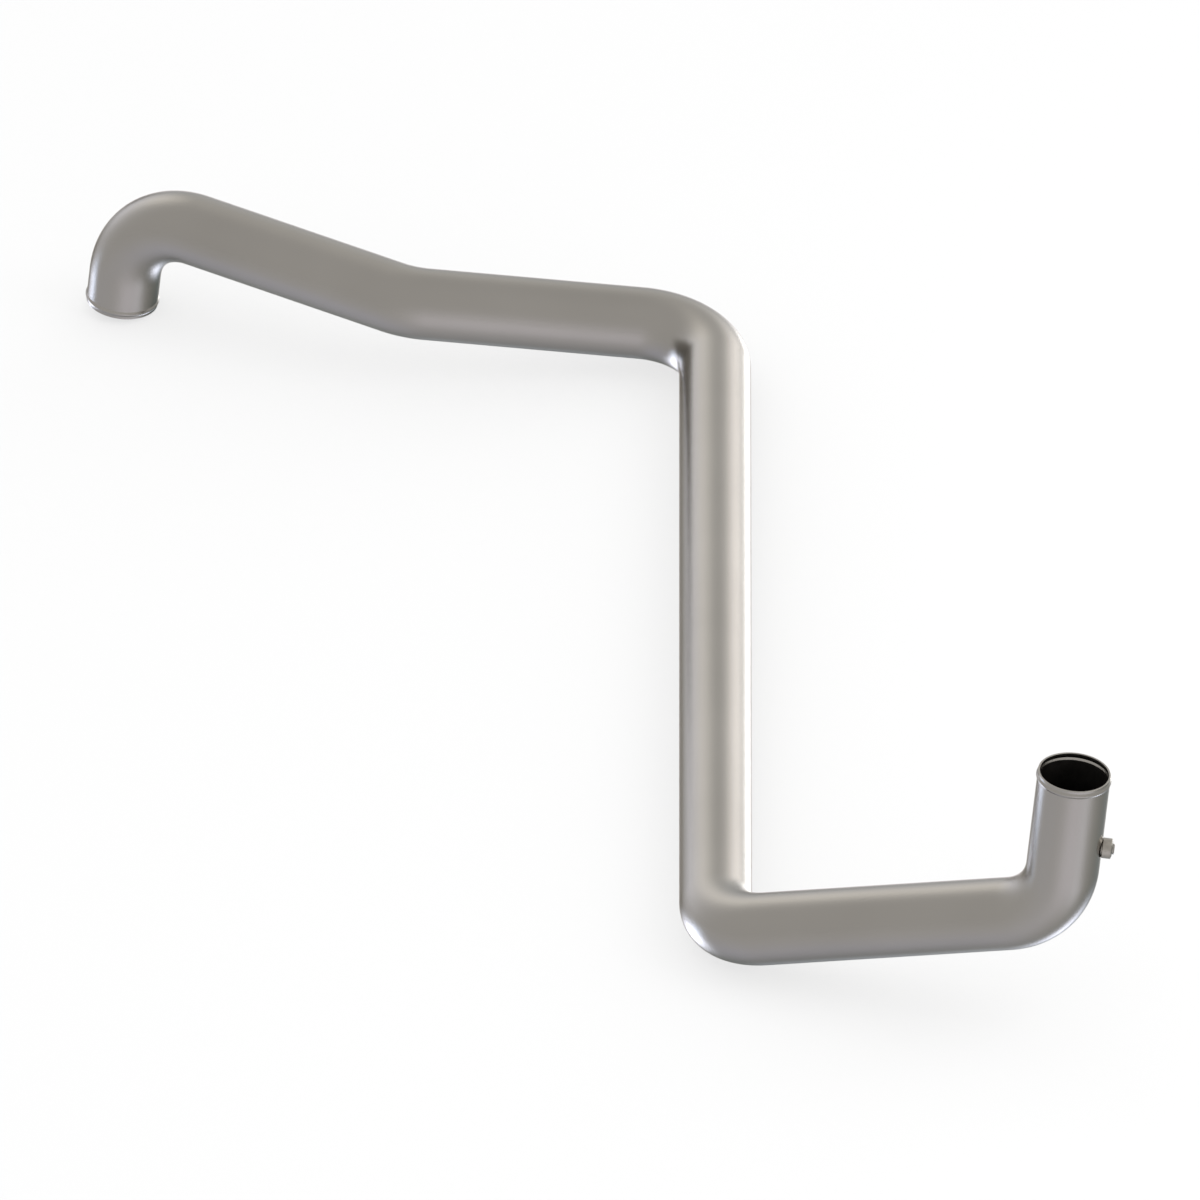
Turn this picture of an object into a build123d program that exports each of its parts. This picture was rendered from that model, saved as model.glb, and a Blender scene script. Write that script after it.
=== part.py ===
from build123d import *
import os
from math import acos, cos, degrees, radians, sqrt, tan

# Coolant tube of a vehicle's radiator: one length of round stainless tube with five bends, a
# rolled bead near each end to hold a clamped hose, and a flat-bottomed boss that a pipe plug
# closes. Millimetres, +Z up. The tube lies as it comes to rest, with its long run and the lower
# edge of its inlet on z = 0. +X is along the long run, and the origin is under the middle.

os.makedirs("parts", exist_ok=True)

# Tube, sized for a 2 1/2 inch hose
tube_od = 63.5
tube_wall = 1.65
bend_radius = 70  # to the centre line, the same at every bend
edge_break = 0.3  # the deburred edges of both open ends

# Route of the centre line from the inlet to the outlet. A run is measured from corner to corner,
# where a corner is the point at which the straight lines of two neighbouring runs meet.
inlet_run = 97
near_run = 283
cross_run = 272
long_run = 987
rising_run = 334
outlet_run = 143
first_bend = 87
second_bend = 27
third_bend = 87
fourth_bend = 69
# Turn of the bending plane about the run between two bends
twist_to_second = 88
twist_to_third = -177
twist_to_fourth = -157.5
# The outlet runs parallel to the inlet, which sets the fifth bend.

# Rolled hose bead, the same at both ends
bead_lead = 2.4  # plain tube between the open end and the bead
bead_height = 1.1
bead_slope = 30  # of its two flanks, in degrees
bead_fold = 1.9  # outer radius of each fold of the wall: the crest's outside, the feet's inside

# Boss on the outlet run
boss_from_outlet = 73  # along the tube, to the middle of the boss
boss_turn = 162  # about the outlet run, from the side on which the rising run arrives
boss_od = 18
boss_height = 9
boss_edge_width = 2.8  # the shallow chamfer round its outer face
boss_edge_depth = 0.9
boss_foot_chamfer = 0.6
boss_seat_clearance = 0.02
spigot_od = 12.5
spigot_clearance = 0.05

# Pipe plug in the boss
plug_od = 9.4
plug_length = 8
plug_proud = 1.8  # what stands out of the boss
plug_clearance = 0.05
plug_chamfer = 0.5
socket_across_flats = 4.8
socket_depth = 4

tube_radius = tube_od / 2
bore_radius = tube_radius - tube_wall

# The bead's flanks would meet in a sharp peak, which the fold rounds off to the bead's height.
# Inside, the flanks lie one wall deeper, so the groove is that much narrower at each foot.
bead_peak = bead_height + bead_fold * (1 / cos(radians(bead_slope)) - 1)
bead_half_width = bead_peak / tan(radians(bead_slope))
bead_width = 2 * bead_half_width
groove_inset = tube_wall * tan(radians(bead_slope / 2))
groove_peak = (bead_half_width - groove_inset) * tan(radians(bead_slope))
end_length = bead_lead + bead_width + bead_lead  # from the open end to the plain tube


def bent_route(runs, bends, twists):
    """Corner points, from the lengths and turns that a tube bender is set to."""
    heading = Vector(1, 0, 0)
    plane_normal = Vector(0, 0, 1)
    points = [Vector(0, 0, 0)]
    headings = [heading]
    for run, bend, twist in zip(runs, bends, twists):
        points.append(points[-1] + heading * run)
        plane_normal = plane_normal.rotate(Axis((0, 0, 0), heading), twist)
        heading = heading.rotate(Axis((0, 0, 0), plane_normal), bend)
        headings.append(heading)
    points.append(points[-1] + heading * runs[len(bends)])
    points.append(points[-1] + headings[0] * runs[-1])
    return points


route = bent_route(
    (inlet_run, near_run, cross_run, long_run, rising_run, outlet_run),
    (first_bend, second_bend, third_bend, fourth_bend),
    (0, twist_to_second, twist_to_third, twist_to_fourth),
)

# Rest: the long run is level, one tube radius above the floor, and the tube has rolled about it
# until the edge of the inlet touches. How far the inlet's middle stands above its lowest edge
# depends on the roll, so the two are worked out in turn until they agree.
long_heading = (route[4] - route[3]).normalized()
inlet_heading = (route[1] - route[0]).normalized()
across = route[0] - route[3]
across = across - long_heading * across.dot(long_heading)
rim_radius = tube_radius - edge_break
inlet_height = tube_radius
for _ in range(40):
    roll = degrees(acos((inlet_height - tube_radius) / across.length))
    up = across.normalized().rotate(Axis((0, 0, 0), long_heading), -roll)
    inlet_height = rim_radius * sqrt(1 - up.dot(inlet_heading) ** 2)
lying = Plane(route[3] - up * tube_radius, x_dir=long_heading, z_dir=up)
inlet, corner_1, corner_2, corner_3, corner_4, corner_5, outlet = [
    lying.to_local_coords(point) for point in route
]
into_inlet = (corner_1 - inlet).normalized()
into_outlet = (corner_5 - outlet).normalized()

# The boss stands square on the outlet run
boss_foot = outlet + into_outlet * boss_from_outlet
rising_heading = (corner_4 - corner_5).normalized()
arriving = rising_heading - into_outlet * rising_heading.dot(into_outlet)
boss_axis = arriving.normalized().rotate(Axis((0, 0, 0), into_outlet), boss_turn)
boss_plane = Plane(boss_foot, x_dir=into_outlet, z_dir=boss_axis)
seat_height = tube_radius + boss_seat_clearance
face_height = tube_radius + boss_height

with BuildPart() as tube:
    # The formed ends: the wall keeps its thickness through the bead, so the bore has a groove
    for mouth, inward in ((inlet, into_inlet), (outlet, into_outlet)):
        outward_side = inward.cross(Vector(1, 0, 0)).normalized()
        with BuildSketch(Plane(mouth, x_dir=outward_side, z_dir=outward_side.cross(inward))):
            with BuildLine():
                outside = FilletPolyline(
                    (tube_radius, 0),
                    (tube_radius, bead_lead),
                    (tube_radius + bead_peak, bead_lead + bead_half_width),
                    (tube_radius, bead_lead + bead_width),
                    (tube_radius, end_length),
                    radius=(0, bead_fold, 0),
                )
                inside = FilletPolyline(
                    (bore_radius, 0),
                    (bore_radius, bead_lead + groove_inset),
                    (bore_radius + groove_peak, bead_lead + bead_half_width),
                    (bore_radius, bead_lead + bead_width - groove_inset),
                    (bore_radius, end_length),
                    radius=(bead_fold, 0, bead_fold),
                )
                Line(outside @ 0, inside @ 0)
                Line(outside @ 1, inside @ 1)
            make_face()
            chamfer(vertices().group_by(Axis.Y)[0], edge_break)
        revolve(axis=Axis(mouth, inward))
    # The long way round between them
    with BuildLine():
        centre_line = FilletPolyline(
            inlet + into_inlet * end_length,
            corner_1,
            corner_2,
            corner_3,
            corner_4,
            corner_5,
            outlet + into_outlet * end_length,
            radius=bend_radius,
        )
    with BuildSketch(Plane(centre_line @ 0, z_dir=into_inlet)):
        Circle(tube_radius)
        Circle(bore_radius, mode=Mode.SUBTRACT)
    sweep()
    # The hole in the wall for the boss's spigot
    with BuildSketch(boss_plane):
        Circle(spigot_od / 2 + spigot_clearance)
    extrude(amount=face_height, mode=Mode.SUBTRACT)
tube.part.label = "tube"

with BuildPart() as boss:
    with BuildSketch(boss_plane.offset(seat_height)):
        Circle(boss_od / 2)
    extrude(amount=face_height - seat_height)
    along_boss = Axis(boss_foot, boss_axis)
    ends = edges().filter_by(GeomType.CIRCLE).sort_by(along_boss)
    chamfer(ends[0], boss_foot_chamfer)
    outer_edge = edges().filter_by(GeomType.CIRCLE).sort_by(along_boss)[-1]
    outer_face = faces().sort_by(along_boss)[-1]
    chamfer(outer_edge, boss_edge_depth, boss_edge_width, reference=outer_face)
    # The spigot fills the hole in the wall, and is flush with the bore at its nearest side
    with BuildSketch(boss_plane.offset(bore_radius)):
        Circle(spigot_od / 2)
    extrude(amount=seat_height - bore_radius)
    with BuildSketch(boss_plane):
        Circle(plug_od / 2 + plug_clearance)
    extrude(amount=face_height, mode=Mode.SUBTRACT)
boss.part.label = "boss"

with BuildPart() as pipe_plug:
    plug_top = boss_plane.offset(face_height + plug_proud)
    with BuildSketch(plug_top):
        Circle(plug_od / 2)
    extrude(amount=-plug_length)
    chamfer(edges().filter_by(GeomType.CIRCLE).sort_by(along_boss)[-1], plug_chamfer)
    with BuildSketch(plug_top):
        RegularPolygon(socket_across_flats / 2, 6, major_radius=False)
    extrude(amount=-socket_depth, mode=Mode.SUBTRACT)
pipe_plug.part.label = "pipe_plug"

# Every piece moves together, so that the origin is on the floor under the middle of them all
extent = tube.part.bounding_box()
for piece in (boss.part, pipe_plug.part):
    extent = extent.add(piece.bounding_box())
to_origin = Location((-extent.center().X, -extent.center().Y, 0))
for piece in (tube.part, boss.part, pipe_plug.part):
    piece.move(to_origin)

export_step(tube.part, "parts/tube.step")
export_step(boss.part, "parts/boss.step")
export_step(pipe_plug.part, "parts/pipe_plug.step")
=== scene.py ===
import bpy
import numpy as np
from mathutils import Matrix


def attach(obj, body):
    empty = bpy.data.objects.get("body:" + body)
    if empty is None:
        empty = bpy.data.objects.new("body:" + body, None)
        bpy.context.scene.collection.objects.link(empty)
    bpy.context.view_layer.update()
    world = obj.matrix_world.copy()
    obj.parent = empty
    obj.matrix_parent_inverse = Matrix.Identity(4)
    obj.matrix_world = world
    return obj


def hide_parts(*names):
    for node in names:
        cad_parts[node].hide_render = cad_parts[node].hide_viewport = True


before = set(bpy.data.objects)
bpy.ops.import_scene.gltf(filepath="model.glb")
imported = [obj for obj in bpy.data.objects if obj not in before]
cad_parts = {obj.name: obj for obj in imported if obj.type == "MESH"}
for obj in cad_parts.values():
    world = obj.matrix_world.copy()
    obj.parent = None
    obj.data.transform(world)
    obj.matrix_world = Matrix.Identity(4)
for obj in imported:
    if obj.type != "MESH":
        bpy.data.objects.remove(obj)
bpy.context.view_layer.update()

# Coolant tube of a radiator, in satin stainless steel. All sizes are in metres, in the CAD's frame.
# The tube and its boss are made again here, with finer folds and rounded edges, and the boss's
# shallow cone as wide across its face as the photo shows it. The pipe plug keeps the CAD's mesh.

MM = 0.001

# The tube: the corners of its centre line, from the inlet to the outlet, as the CAD has them
TUBE_CORNERS = MM * np.array([
    (-631.6210, -428.5578, 5.5744),
    (-631.2219, -411.3696, 101.0385),
    (-489.8977, -167.9483, 71.6695),
    (-475.6623, 100.7295, 31.7500),
    (511.3377, 100.7295, 31.7500),
    (631.0326, 403.2186, 107.4436),
    (631.6210, 428.5578, 248.1794),
])
BEND_RADIUS = 70 * MM
TUBE_RADIUS = 31.75 * MM
BORE_RADIUS = 30.10 * MM
OPEN_EDGE_ROUND = 0.35 * MM

# The rolled bead near each open end, and the groove inside it
BEAD_LEAD = 2.4 * MM  # plain tube on either side of the bead
BEAD_PEAK = 1.3939 * MM  # where the two flanks of the bead would meet
BEAD_HALF_WIDTH = 2.4144 * MM
GROOVE_PEAK = 1.1387 * MM
GROOVE_INSET = 0.4421 * MM  # how far each foot of the groove lies inside the bead's
OUTER_FOLD = 1.9 * MM  # a fold's radius on its outer side
INNER_FOLD = 0.3 * MM  # and on its inner side
MOUTH_LENGTH = 2 * (BEAD_LEAD + BEAD_HALF_WIDTH)

# The boss, with its heights measured along its axis from the tube's centre line
BOSS_FROM_OUTLET = 73 * MM
BOSS_AXIS = np.array((0.0826716, 0.9807458, -0.1769271))
BOSS_SEAT = 31.77 * MM
BOSS_FACE = 40.75 * MM
BOSS_RADIUS = 9 * MM
BOSS_HOLE_RADIUS = 4.75 * MM
SPIGOT_RADIUS = 6.25 * MM
WALL_HOLE_RADIUS = 6.3 * MM
BOSS_FOOT_CHAMFER = 0.6 * MM
BOSS_CONE_WIDTH = 2.8 * MM  # of the shallow cone round the boss's face
BOSS_CONE_DEPTH = 0.9 * MM
BOSS_EDGE_ROUND = 0.1 * MM
CONE_FOOT_ROUND = 0.25 * MM
CONE_TOP_ROUND = 0.3 * MM
BOSS_HOLE_ROUND = 0.15 * MM

# How fine the meshes are
AROUND = 160  # faces around the tube
BOSS_AROUND = 96  # and around the boss
OUTSIDE_STEP = 2.0  # degrees of bend from ring to ring, outside
BORE_STEP = 3.0  # and in the bore
FOLD_STEP = 12.0  # degrees that each face of a small rounding turns, at most
BLOCK = 12  # faces each way of the square of the wall that holds the boss's hole
BLOCK_REACH = 7.6 * MM  # along the tube, from the middle of that square to its ends
HOLE_RINGS = 3  # rings of faces from the edge of that square to the hole
SHARP_EDGE = 35.0  # degrees of turn from which an edge stays crisp


# ---------------------------------------------------------------- shapes

def unit(v):
    return v / np.linalg.norm(v, axis=-1, keepdims=True)


def dot(a, b):
    return (a * b).sum(-1, keepdims=True)


def rounded_corner(before, corner, after, radius):
    """The arc that rounds a corner: its first point, the directions along and across it there,
    and the angle it turns. It starts radius x tan(half the angle) before the corner."""
    along, beyond = unit(corner - before), unit(after - corner)
    angle = np.arccos(np.clip(along @ beyond, -1, 1))
    across = unit(beyond - along * np.cos(angle))
    return corner - along * radius * np.tan(angle / 2), along, across, angle


class CentreLine:
    """The tube's centre line: straight runs joined by arcs. At a distance s along it, an arc that
    began at p has turned by a = (s - start) / radius, and its point is
    p + radius x (along x sin a + across x (1 - cos a))."""

    def __init__(self, corners, radius):
        stretches = []  # each one's first point, along, across, side, bend per metre and length
        point = corners[0]
        side = unit(np.cross(corners[1] - corners[0], (1.0, 0.0, 0.0)))
        for before, corner, after in zip(corners, corners[1:], corners[2:]):
            first, along, across, angle = rounded_corner(before, corner, after, radius)
            stretches.append((point, along, across, side, 0.0, np.linalg.norm(first - point)))
            stretches.append((first, along, across, side, 1 / radius, radius * angle))
            # The side direction is carried round the bend without a twist
            axis = np.cross(along, across)
            turned = along * np.cos(angle) + across * np.sin(angle)
            point = first + radius * (along * np.sin(angle) + across * (1 - np.cos(angle)))
            side = (axis * (side @ axis) + unit(np.cross(axis, turned)) * (side @ across)
                    + turned * (side @ along))
        last = unit(corners[-1] - corners[-2])
        stretches.append((point, last, side, side, 0.0, np.linalg.norm(corners[-1] - point)))
        self.firsts, self.alongs, self.acrosses, self.sides, self.bends, lengths = (
            np.array(column) for column in zip(*stretches))
        self.ends = np.concatenate([[0], np.cumsum(lengths)])
        self.length = self.ends[-1]

    def at(self, s):
        """Point, heading, side and up directions at each distance s."""
        k = np.clip(np.searchsorted(self.ends, s, side="right") - 1, 0, len(self.bends) - 1)
        gone, bend = (s - self.ends[k])[:, None], self.bends[k][:, None]
        along, across, side = self.alongs[k], self.acrosses[k], self.sides[k]
        turn = bend * gone
        radius = 1 / np.where(bend > 0, bend, 1)
        ahead = np.where(bend > 0, radius * np.sin(turn), gone)
        inward = np.where(bend > 0, radius * (1 - np.cos(turn)), 0)
        point = self.firsts[k] + along * ahead + across * inward
        heading = along * np.cos(turn) + across * np.sin(turn)
        to_centre = across * np.cos(turn) - along * np.sin(turn)
        axis = np.cross(along, across)
        side = axis * dot(side, axis) + to_centre * dot(side, across) + heading * dot(side, along)
        return point, heading, side, np.cross(heading, side)


centre_line = CentreLine(TUBE_CORNERS, BEND_RADIUS)
boss_at = centre_line.length - BOSS_FROM_OUTLET
boss_foot, boss_along, tube_side, tube_up = (v[0] for v in centre_line.at(np.array([boss_at])))
boss_across = np.cross(BOSS_AXIS, boss_along)


def rounded(corners):
    """The line from the first to the last of the corners, which are (x, y, radius). Each one
    between them is rounded to its radius, in at least three faces."""
    places, radii = corners[:, :2], corners[:, 2]
    points = [places[:1]]
    for before, corner, after, radius in zip(places, places[1:], places[2:], radii[1:]):
        first, along, across, angle = rounded_corner(before, corner, after, radius)
        a = np.linspace(0, angle, 4 + int(np.degrees(angle) / FOLD_STEP))[:, None]
        points.append(first + radius * (along * np.sin(a) + across * (1 - np.cos(a))))
    points.append(places[-1:])
    return np.concatenate(points)


def closed_grid(rows, columns):
    """The numbers of the points of a grid that closes on itself both ways, and its faces: each
    point with the next in its row, the one after both, and the next in its column."""
    number = np.arange(rows * columns).reshape(rows, columns)
    beside, below = np.roll(number, -1, 1), np.roll(number, -1, 0)
    return number, np.stack([number, beside, np.roll(below, -1, 1), below], -1)


def between_rings(outer, inner):
    """The faces between two rings of points."""
    return np.stack([outer, np.roll(outer, -1), np.roll(inner, -1), inner], -1)


def mouth_profile():
    """(distance from the open end, radius) from the bore, round the edge, to the outside, with the
    rolled bead outside and its groove inside. Each corner is rounded to its fold's radius."""
    middle, far = BEAD_LEAD + BEAD_HALF_WIDTH, BEAD_LEAD + 2 * BEAD_HALF_WIDTH
    return rounded(np.array([
        (MOUTH_LENGTH, BORE_RADIUS, 0),
        (far - GROOVE_INSET, BORE_RADIUS, OUTER_FOLD),
        (middle, BORE_RADIUS + GROOVE_PEAK, INNER_FOLD),
        (BEAD_LEAD + GROOVE_INSET, BORE_RADIUS, OUTER_FOLD),
        (0, BORE_RADIUS, OPEN_EDGE_ROUND),
        (0, TUBE_RADIUS, OPEN_EDGE_ROUND),
        (BEAD_LEAD, TUBE_RADIUS, INNER_FOLD),
        (middle, TUBE_RADIUS + BEAD_PEAK, OUTER_FOLD),
        (far, TUBE_RADIUS, INNER_FOLD),
        (MOUTH_LENGTH, TUBE_RADIUS, 0),
    ]))


def between_mouths(step):
    """The distances along the tube of the rings between its two mouths: no more than that many
    degrees apart in a bend, one half way along each straight run, and those of the boss's block."""
    distances = [boss_at + np.linspace(-BLOCK_REACH, BLOCK_REACH, BLOCK + 1)]
    for start, end, bend in zip(centre_line.ends, centre_line.ends[1:], centre_line.bends):
        faces = 1 + int(np.degrees((end - start) * bend) / step) if bend else 2
        distances.append(np.linspace(start, end, faces + 1))
    # Distances that agree to 7 decimals are one ring, and none lies within 1 mm of a mouth
    s = np.unique(np.round(np.concatenate(distances), 7))
    return s[(s > MOUTH_LENGTH + MM) & (s < centre_line.length - MOUTH_LENGTH - MM)]


def straight_place(radius, angle, distance):
    """A point's place on the tube while it was still straight and ran along Z."""
    place = radius * np.cos(angle), radius * np.sin(angle), distance
    return np.stack(np.broadcast_arrays(*place), -1).reshape(-1, 3)


def tube_surface():
    """The tube's whole skin, outside, both edges and bore, as one closed grid: a ring of points
    round the centre line at each (distance, radius) of a loop that runs out along the outside and
    back through the bore. A point is centre + radius x (side x cos a + up x sin a). The faces
    under the boss give way to rings round its hole. Returns the points, each one's place on the
    tube while it was still straight, the faces and which of them are in the bore."""
    mouth = mouth_profile()
    far_mouth = mouth[::-1] * (-1, 1) + (centre_line.length, 0)
    out, back = between_mouths(OUTSIDE_STEP), between_mouths(BORE_STEP)[::-1]
    s = np.concatenate([mouth[:, 0], out, far_mouth[:, 0], back])
    r = np.concatenate([mouth[:, 1], np.full(len(out), TUBE_RADIUS),
                        far_mouth[:, 1], np.full(len(back), BORE_RADIUS)])

    # Each ring starts with the block's points, so that the boss stands over the block's middle
    centre, _, side, up = centre_line.at(s)
    under_boss = np.arctan2(tube_up @ BOSS_AXIS, tube_side @ BOSS_AXIS)
    angle = under_boss + 2 * np.pi * (np.arange(AROUND) - BLOCK / 2) / AROUND
    ring = side[:, None] * np.cos(angle)[:, None] + up[:, None] * np.sin(angle)[:, None]
    points = (centre[:, None] + ring * r[:, None, None]).reshape(-1, 3)
    straight = straight_place(r[:, None], angle, s[:, None])

    number, quads = closed_grid(len(s), AROUND)
    is_bore = np.isclose(r, BORE_RADIUS)
    both_bore = np.repeat((is_bore & np.roll(is_bore, -1))[:, None], AROUND, 1)
    keep = np.ones(number.shape, bool)
    blocks = []  # the first row of each block: the loop runs back through the bore
    for radius, end in ((TUBE_RADIUS, -BLOCK_REACH), (BORE_RADIUS, BLOCK_REACH)):
        first = np.flatnonzero(np.isclose(s, boss_at + end) & np.isclose(r, radius))[0]
        keep[first:first + BLOCK, :BLOCK] = False
        blocks.append((first, radius))
    faces, in_bore = [quads[keep]], [both_bore[keep]]

    # Rings from the edge of each block to the hole. At a distance u along the tube from the
    # boss's axis and v across it, the wall stands sqrt(radius^2 - v^2) above the centre line.
    n, zero = np.arange(BLOCK), np.zeros(BLOCK, int)
    edge_row = np.concatenate([zero, n, zero + BLOCK, BLOCK - n])
    edge_column = np.concatenate([n, zero + BLOCK, BLOCK - n, zero])
    count = 4 * BLOCK
    holes = []
    for first, radius in blocks:
        rings = [number[first + edge_row, edge_column]]
        from_foot = points[rings[0]] - boss_foot
        x, y = from_foot @ boss_along, from_foot @ boss_across
        polar = np.arctan2(y * TUBE_RADIUS / radius, x)
        for share in np.arange(1, HOLE_RINGS + 1) / HOLE_RINGS:
            u = x * (1 - share) + WALL_HOLE_RADIUS * np.cos(polar) * share
            v = y * (1 - share) + WALL_HOLE_RADIUS * np.sin(polar) * share
            height = np.sqrt(radius ** 2 - v ** 2)
            rings.append(len(points) + np.arange(count))
            points = np.concatenate([points, boss_foot + u[:, None] * boss_along
                                     + v[:, None] * boss_across + height[:, None] * BOSS_AXIS])
            turned = under_boss + np.arcsin(v / radius)
            straight = np.concatenate([straight, straight_place(radius, turned, boss_at + u)])
        faces += [between_rings(outer, inner) for outer, inner in zip(rings, rings[1:])]
        in_bore.append(np.full(HOLE_RINGS * count, radius == BORE_RADIUS))
        holes.append(rings[-1])

    # The hole's own wall. The bore's ring starts at another corner and runs the other way.
    bore_ring = holes[1][(3 * BLOCK - np.arange(count)) % count]
    faces.append(between_rings(holes[0], bore_ring))
    in_bore.append(np.ones(count, bool))
    return points, straight, np.concatenate(faces), np.concatenate(in_bore)


def boss_surface():
    """The boss, turned about its axis: a closed profile of (height above the tube's centre line,
    radius) that starts and ends half way up its hole. A point is foot + height x axis + radius x
    (across x cos a + along x sin a). Returns the points and the faces."""
    middle = (BOSS_SEAT + BOSS_FACE) / 2
    profile = rounded(np.array([
        (middle, BOSS_HOLE_RADIUS, 0),
        (BORE_RADIUS, BOSS_HOLE_RADIUS, BOSS_EDGE_ROUND),
        (BORE_RADIUS, SPIGOT_RADIUS, BOSS_EDGE_ROUND),
        (BOSS_SEAT, SPIGOT_RADIUS, BOSS_EDGE_ROUND),
        (BOSS_SEAT, BOSS_RADIUS - BOSS_FOOT_CHAMFER, BOSS_EDGE_ROUND),
        (BOSS_SEAT + BOSS_FOOT_CHAMFER, BOSS_RADIUS, BOSS_EDGE_ROUND),
        (BOSS_FACE - BOSS_CONE_DEPTH, BOSS_RADIUS, CONE_FOOT_ROUND),
        (BOSS_FACE, BOSS_RADIUS - BOSS_CONE_WIDTH, CONE_TOP_ROUND),
        (BOSS_FACE, BOSS_HOLE_RADIUS, BOSS_HOLE_ROUND),
        (middle, BOSS_HOLE_RADIUS, 0),
    ]))[:-1]
    a = 2 * np.pi * np.arange(BOSS_AROUND) / BOSS_AROUND
    ring = np.cos(a)[:, None] * boss_across + np.sin(a)[:, None] * boss_along
    height, radius = profile.T[:, :, None, None]
    points = (boss_foot + height * BOSS_AXIS + radius * ring).reshape(-1, 3)
    _, faces = closed_grid(len(profile), BOSS_AROUND)
    outward = faces[..., (0, 3, 2, 1)]  # the other way round than the grid has them
    return points, outward.reshape(-1, 4)


def mesh_piece(name, points, faces, materials, face_material=None):
    """A piece whose object sits at the origin, smooth except across its sharp edges."""
    mesh = bpy.data.meshes.new(name)
    mesh.from_pydata(points.tolist(), [], faces.tolist())
    for material in materials:
        mesh.materials.append(material)
    if face_material is not None:
        mesh.polygons.foreach_set("material_index", face_material.astype(np.int32))
    mesh.polygons.foreach_set("use_smooth", np.ones(len(faces), bool))
    mesh.set_sharp_from_angle(angle=np.radians(SHARP_EDGE))
    mesh.update()
    piece = bpy.data.objects.new(name, mesh)
    bpy.context.scene.collection.objects.link(piece)
    return piece


# ---------------------------------------------------------------- materials

def linear(code):
    """An sRGB hex colour as the linear values that Blender's sockets take."""
    c = np.array([int(code[k:k + 2], 16) for k in (1, 3, 5)]) / 255
    return (*np.where(c <= 0.04045, c / 12.92, ((c + 0.055) / 1.055) ** 2.4), 1.0)


def node(tree, kind, inputs, **settings):
    """Adds a node. Settings name its properties. Inputs give each socket a value, or the output
    to link to it."""
    made = tree.nodes.new("ShaderNode" + kind)
    for key, value in settings.items():
        setattr(made, key, value)
    for socket, value in inputs.items():
        if isinstance(value, bpy.types.NodeSocket):
            tree.links.new(value, made.inputs[socket])
        else:
            made.inputs[socket].default_value = value
    return made


def new_material(name):
    material = bpy.data.materials.new(name)
    material.use_nodes = True
    material.node_tree.nodes.clear()
    return material, material.node_tree


# The tube's skin carries each point's place on the straight tube, which ran along Z
STRAIGHT_TUBE = {"attribute_name": "straight_tube", "attribute_type": "GEOMETRY"}
# Nearly all of a noise pattern lies between these values
NOISE_RANGE = {"From Min": 0.3, "From Max": 0.7}

# Satin drawn stainless tube: belt-polished lengthwise before it was bent, so a fine grain runs
# along it and breaks up the bright edges of its reflections, and its colour is a warm, even grey.
POLISH_SPACING = 1.8 * MM  # real polishing lines are about 0.1 mm apart, too fine to show
POLISH_LENGTH = 80 * MM
GRIT_SIZE = 1.4 * MM  # its sparkle is also drawn coarser than the real grit, so that it shows
CLOUD_SIZE = 120 * MM  # faint clouds a hand's width across, left by handling and heat

satin_steel, tree = new_material("satin_drawn_stainless_tube")
place = node(tree, "Attribute", {}, **STRAIGHT_TUBE).outputs["Vector"]
lengthwise = node(tree, "Mapping", {
    "Vector": place, "Scale": (1 / POLISH_SPACING, 1 / POLISH_SPACING, 1 / POLISH_LENGTH),
}).outputs["Vector"]
lines = node(tree, "TexNoise", {
    "Vector": lengthwise, "Scale": 1.0, "Detail": 2.0, "Roughness": 0.6,
}).outputs["Fac"]
grit = node(tree, "TexNoise", {
    "Vector": place, "Scale": 1 / GRIT_SIZE, "Detail": 2.0, "Roughness": 0.6,
}).outputs["Fac"]
clouds = node(tree, "TexNoise", {
    "Vector": place, "Scale": 1 / CLOUD_SIZE, "Detail": 2.0, "Roughness": 0.5,
}).outputs["Fac"]
cloudy = node(tree, "MapRange", {"Value": clouds, **NOISE_RANGE}).outputs["Result"]
colour = node(tree, "MixRGB", {
    "Fac": cloudy, "Color1": linear("#908C86"), "Color2": linear("#94908A"),
}).outputs["Color"]
rough = node(tree, "MapRange", {
    "Value": lines, **NOISE_RANGE, "To Min": 0.19, "To Max": 0.23,
}).outputs["Result"]
line_bump = node(tree, "Bump", {
    "Height": lines, "Strength": 0.04, "Distance": 0.2 * MM,
}).outputs["Normal"]
grit_bump = node(tree, "Bump", {
    "Height": grit, "Normal": line_bump, "Strength": 0.3, "Distance": 0.5 * MM,
}).outputs["Normal"]
satin = node(tree, "BsdfPrincipled", {
    "Base Color": colour, "Metallic": 1.0, "Roughness": rough, "Normal": grit_bump,
})
node(tree, "OutputMaterial", {"Surface": satin.outputs["BSDF"]})

# Painted shade: the bore is painted a dark, dull grey with random blotches, so that the open mouth
# looks nearly black, standing in for the shade deep inside the tube.
BLOTCH_SIZE = 15 * MM

painted_shade_bore, tree = new_material("bore_painted_shade")
place = node(tree, "Attribute", {}, **STRAIGHT_TUBE).outputs["Vector"]
blotches = node(tree, "TexNoise", {
    "Vector": place, "Scale": 1 / BLOTCH_SIZE, "Detail": 3.0, "Roughness": 0.6,
}).outputs["Fac"]
patchy = node(tree, "MapRange", {"Value": blotches, **NOISE_RANGE}).outputs["Result"]
colour = node(tree, "MixRGB", {
    "Fac": patchy, "Color1": linear("#2E2C2A"), "Color2": linear("#3F3C39"),
}).outputs["Color"]
rough = node(tree, "MapRange", {
    "Value": blotches, "To Min": 0.5, "To Max": 0.7,
}).outputs["Result"]
dull = node(tree, "BsdfPrincipled", {"Base Color": colour, "Metallic": 1.0, "Roughness": rough})
node(tree, "OutputMaterial", {"Surface": dull.outputs["BSDF"]})

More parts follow.
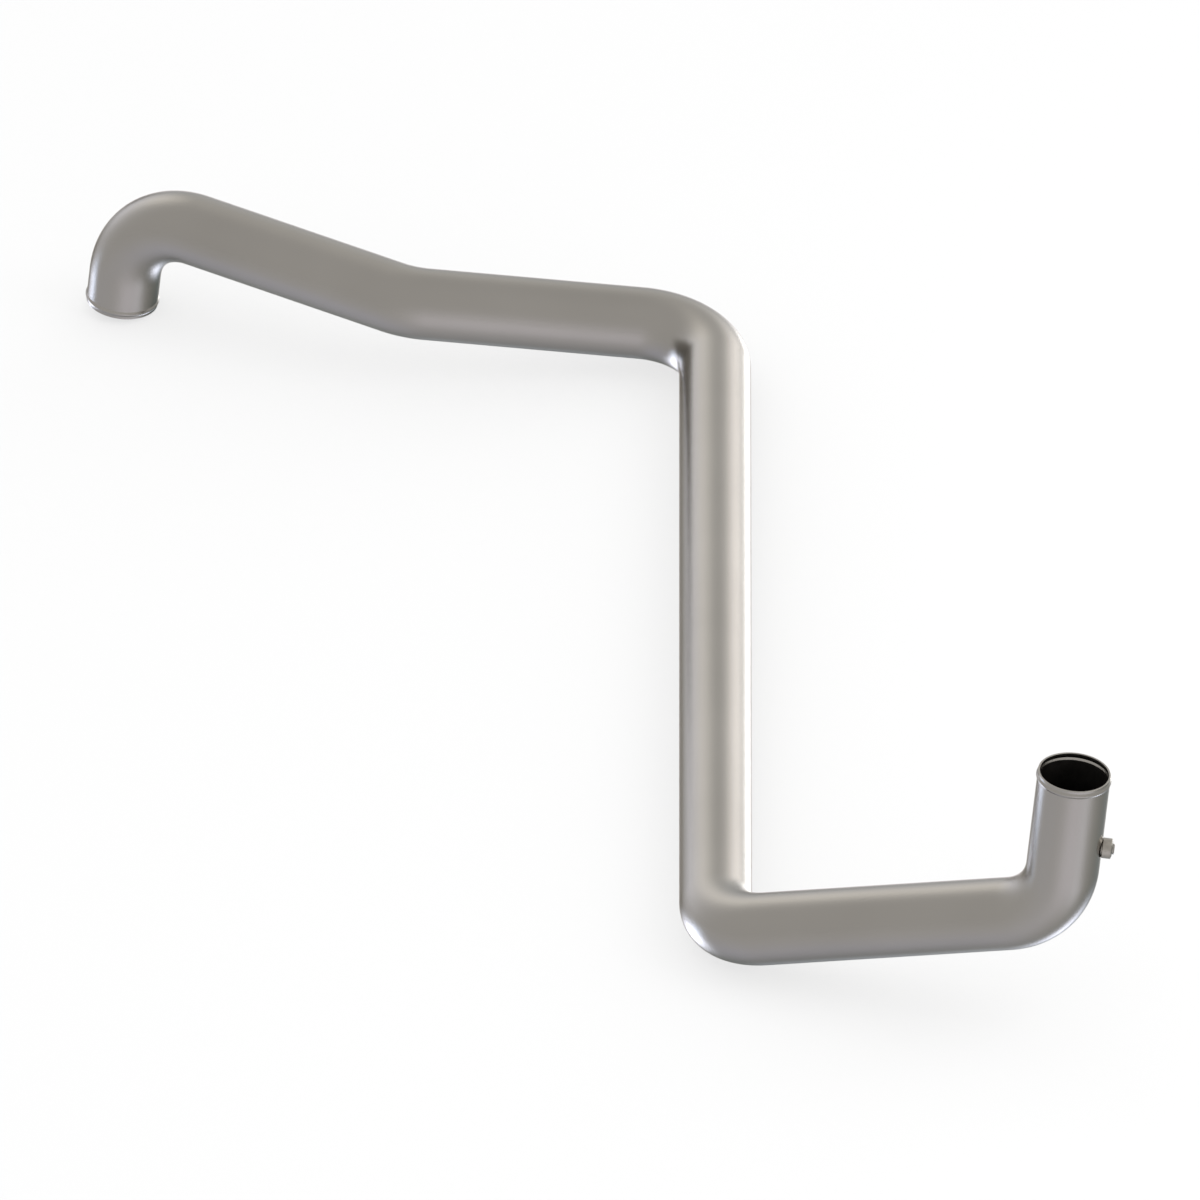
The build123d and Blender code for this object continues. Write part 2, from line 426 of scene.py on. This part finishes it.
# Turned steel: the lathe leaves fine rings round the axis, so the face looks softly grooved, over
# a faint mottle. The real rings are about 0.1 mm apart, and are drawn 3 to 4 mm apart to show.
WAVE_SPACING = np.pi / 10  # between the rings of a wave pattern whose scale is 1
MOTTLE_SIZE = 4 * MM
MOTTLE_ROUGHNESS = 0.05  # how far the mottle moves the roughness, up and down


def turned_steel(name, pale, dark, ring_spacing, roughness):
    """Turned steel with its rings about the boss's axis."""
    material, tree = new_material(name)
    square_to_axis = np.cross(BOSS_AXIS, (1, 0, 0))
    turn = Matrix((square_to_axis, np.cross(BOSS_AXIS, square_to_axis), BOSS_AXIS)).to_euler()
    place = node(tree, "TexCoord", {}).outputs["Object"]
    moved = node(tree, "Mapping", {
        "Vector": place, "Location": tuple(-boss_foot),
    }).outputs["Vector"]
    turned = node(tree, "Mapping", {"Vector": moved, "Rotation": tuple(turn)}).outputs["Vector"]
    rings = node(tree, "TexWave", {
        "Vector": turned, "Scale": WAVE_SPACING / ring_spacing, "Distortion": 1.5, "Detail": 2.0,
    }, wave_type="RINGS", rings_direction="Z").outputs["Fac"]
    mottle = node(tree, "TexNoise", {
        "Vector": place, "Scale": 1 / MOTTLE_SIZE, "Detail": 2.0,
    }).outputs["Fac"]
    mottled = node(tree, "MapRange", {"Value": mottle, **NOISE_RANGE}).outputs["Result"]
    colour = node(tree, "MixRGB", {
        "Fac": mottled, "Color1": linear(dark), "Color2": linear(pale),
    }).outputs["Color"]
    rough = node(tree, "MapRange", {
        "Value": mottle,
        "To Min": roughness - MOTTLE_ROUGHNESS, "To Max": roughness + MOTTLE_ROUGHNESS,
    }).outputs["Result"]
    bump = node(tree, "Bump", {
        "Height": rings, "Strength": 0.15, "Distance": 0.1 * MM,
    }).outputs["Normal"]
    steel = node(tree, "BsdfPrincipled", {
        "Base Color": colour, "Metallic": 1.0, "Roughness": rough, "Normal": bump,
    })
    node(tree, "OutputMaterial", {"Surface": steel.outputs["BSDF"]})
    return material


boss_steel = turned_steel("turned_stainless_boss", "#98938A", "#8E8981", 3.77 * MM, 0.24)
plug_steel = turned_steel("turned_steel_pipe_plug", "#8F8B84", "#86827C", 3.14 * MM, 0.28)

# ---------------------------------------------------------------- the pieces

points, straight, faces, in_bore = tube_surface()
# The bore's faces take the dark bore material, whose colour is painted shade.
tube = mesh_piece("polished_tube", points, faces, (satin_steel, painted_shade_bore), in_bore)
kept = tube.data.attributes.new("straight_tube", "FLOAT_VECTOR", "POINT")
kept.data.foreach_set("vector", straight.astype(np.float32).ravel())
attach(tube, "root")
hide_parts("tube")

boss = mesh_piece("turned_boss", *boss_surface(), (boss_steel,))
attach(boss, "root")
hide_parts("boss")

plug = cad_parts["pipe_plug"]
plug.data.materials.clear()
plug.data.materials.append(plug_steel)

# ---------------------------------------------------------------- floor, light and camera


def toward(azimuth, elevation):
    """The direction at that azimuth and elevation, in degrees."""
    a, e = np.radians((azimuth, elevation))
    return np.array((np.cos(a) * np.cos(e), np.sin(a) * np.cos(e), np.sin(e)))


def facing(right, up, back, place):
    """Where an object stands, and how it is turned: its own X, Y and Z are right, up and back."""
    matrix = Matrix(np.stack([right, up, back], 1).tolist()).to_4x4()
    matrix.translation = place
    return matrix


# The floor is matt white. Seen directly or in the metal, it is mostly the white studio that shows
# through it, and the rest of it keeps the tube's shadow.
FLOOR_CLEAR = 0.7  # the share of the studio that shows through
FLOOR_REACH = 20.0  # from the middle to each side
FLOOR_CORNERS = FLOOR_REACH * np.array([(-1, -1, 0), (1, -1, 0), (1, 1, 0), (-1, 1, 0)])

floor_paint, tree = new_material("pale_floor")
paint = node(tree, "BsdfDiffuse", {"Color": linear("#F4F4F4")}).outputs["BSDF"]
clear = node(tree, "BsdfTransparent", {}).outputs["BSDF"]
ray = node(tree, "LightPath", {}).outputs
seen = ray["Is Camera Ray"]
for mirrored in ("Is Glossy Ray", "Is Transmission Ray"):
    seen = node(tree, "Math", {0: seen, 1: ray[mirrored]}, operation="MAXIMUM").outputs[0]
share = node(tree, "Math", {0: seen, 1: FLOOR_CLEAR}, operation="MULTIPLY").outputs[0]
both = node(tree, "MixShader", {0: share, 1: paint, 2: clear}).outputs["Shader"]
node(tree, "OutputMaterial", {"Surface": both})
floor = mesh_piece("floor", FLOOR_CORNERS, np.array([(0, 1, 2, 3)]), (floor_paint,))

# The studio: an even white room with soft panels. Each is (azimuth, elevation, spread in degrees,
# level, tint), and fades as exp((cos(angle from its middle) - 1) / spread^2), with the spread in
# radians. A level below 0 is a dark screen. The camera sees plain white.
ROOM_LEVEL = 0.93
ROOM_DARKEST = 0.05  # where the dark screens overlap
PANELS = (
    (156.2, -20.2, 6.2, 6.53, "#FEFDFE"),
    (-125.9, -34.5, 7.3, 9.61, "#E1E8FE"),
    (142.5, 8.0, 14.9, 2.26, "#FEFBFC"),
    (-156.0, 31.9, 13.6, 0.80, "#FEFBF4"),
    (151.2, -62.3, 9.0, 5.19, "#E3E9FE"),
    (156.9, -40.3, 35.8, -1.06, "#FEF9FD"),
    (43.5, -44.4, 10.5, 0.91, "#E3E9FE"),
    (7.8, -25.0, 19.2, 0.91, "#E5E3FE"),
    (-144.7, -38.5, 5.1, 5.96, "#EDEFFE"),
    (-73.4, -50.1, 19.7, 0.44, "#B7C3FE"),
    (-113.7, -22.8, 4.9, 3.46, "#C4D9FE"),
    (-165.0, -5.8, 5.0, -1.12, "#E7F1FE"),
    (-146.4, -22.2, 13.1, -1.24, "#E6EDFE"),
    (180.8, -26.9, 8.3, 1.45, "#FEEBEE"),
    (-144.9, -3.7, 19.4, 1.04, "#E8EBFE"),
)
world = bpy.data.worlds.new("studio")
bpy.context.scene.world = world
world.use_nodes = True
tree = world.node_tree
tree.nodes.clear()
direction = node(tree, "TexCoord", {}).outputs["Generated"]
light = (ROOM_LEVEL,) * 3
for azimuth, elevation, spread, level, tint in PANELS:
    narrow = 1 / np.radians(spread) ** 2
    middle = tuple(toward(azimuth, elevation))
    glow = tuple(level * np.array(linear(tint)[:3]))
    cosine = node(tree, "VectorMath", {0: direction, 1: middle},
                  operation="DOT_PRODUCT").outputs["Value"]
    power = node(tree, "Math", {0: cosine, 1: narrow, 2: -narrow},
                 operation="MULTIPLY_ADD").outputs[0]
    fade = node(tree, "Math", {0: power}, operation="EXPONENT").outputs[0]
    light = node(tree, "VectorMath", {0: fade, 1: glow, 2: light},
                 operation="MULTIPLY_ADD").outputs[0]
lit = node(tree, "VectorMath", {0: light, 1: (ROOM_DARKEST,) * 3}, operation="MAXIMUM").outputs[0]
room = node(tree, "Background", {"Color": lit, "Strength": 1.0}).outputs[0]
backdrop = node(tree, "Background", {"Color": (1, 1, 1, 1), "Strength": 1.0}).outputs[0]
ray = node(tree, "LightPath", {}).outputs
both = node(tree, "MixShader", {0: ray["Is Camera Ray"], 1: room, 2: backdrop}).outputs["Shader"]
node(tree, "OutputWorld", {"Surface": both})


def softbox(name, azimuth, elevation, distance, width, height, level):
    """A soft white lamp of that width and height, aimed at the tube. Its level is the brightness
    of its face, where 1 is white."""
    back = toward(azimuth, elevation)
    right = unit(np.cross((0, 0, 1), back))
    lamp = bpy.data.lights.new(name, "AREA")
    lamp.shape, lamp.size, lamp.size_y = "RECTANGLE", width, height
    lamp.energy = level * np.pi * width * height  # watts, for a face of that brightness
    made = bpy.data.objects.new(name, lamp)
    made.matrix_world = facing(right, np.cross(back, right), back, back * distance)
    made.visible_camera = False
    bpy.context.scene.collection.objects.link(made)


softbox("softbox_right", azimuth=75, elevation=45, distance=3.0, width=1.6, height=1.6, level=2.0)

# The camera looks down at 32 degrees from 50 m away through a very long lens, because the photo
# shows no perspective. Its directions and its place were fitted to the photo's outline.
CAMERA_RIGHT = (-0.00120, 0.99697, -0.07783)
CAMERA_UP = (-0.53440, 0.06515, 0.84272)
CAMERA_BACK = (0.84523, 0.04261, 0.53270)
CAMERA_PLACE = (41.9751, 2.1170, 26.5123)

camera = bpy.data.objects.new("camera", bpy.data.cameras.new("camera"))
camera.data.lens = 1700
camera.data.sensor_width = 36
camera.data.clip_start, camera.data.clip_end = 1, 200
right, up, back = (unit(np.array(v)) for v in (CAMERA_RIGHT, CAMERA_UP, CAMERA_BACK))
camera.matrix_world = facing(right, up, back, CAMERA_PLACE)
bpy.context.scene.collection.objects.link(camera)
bpy.context.scene.camera = camera

bpy.context.scene.view_settings.view_transform = "Standard"
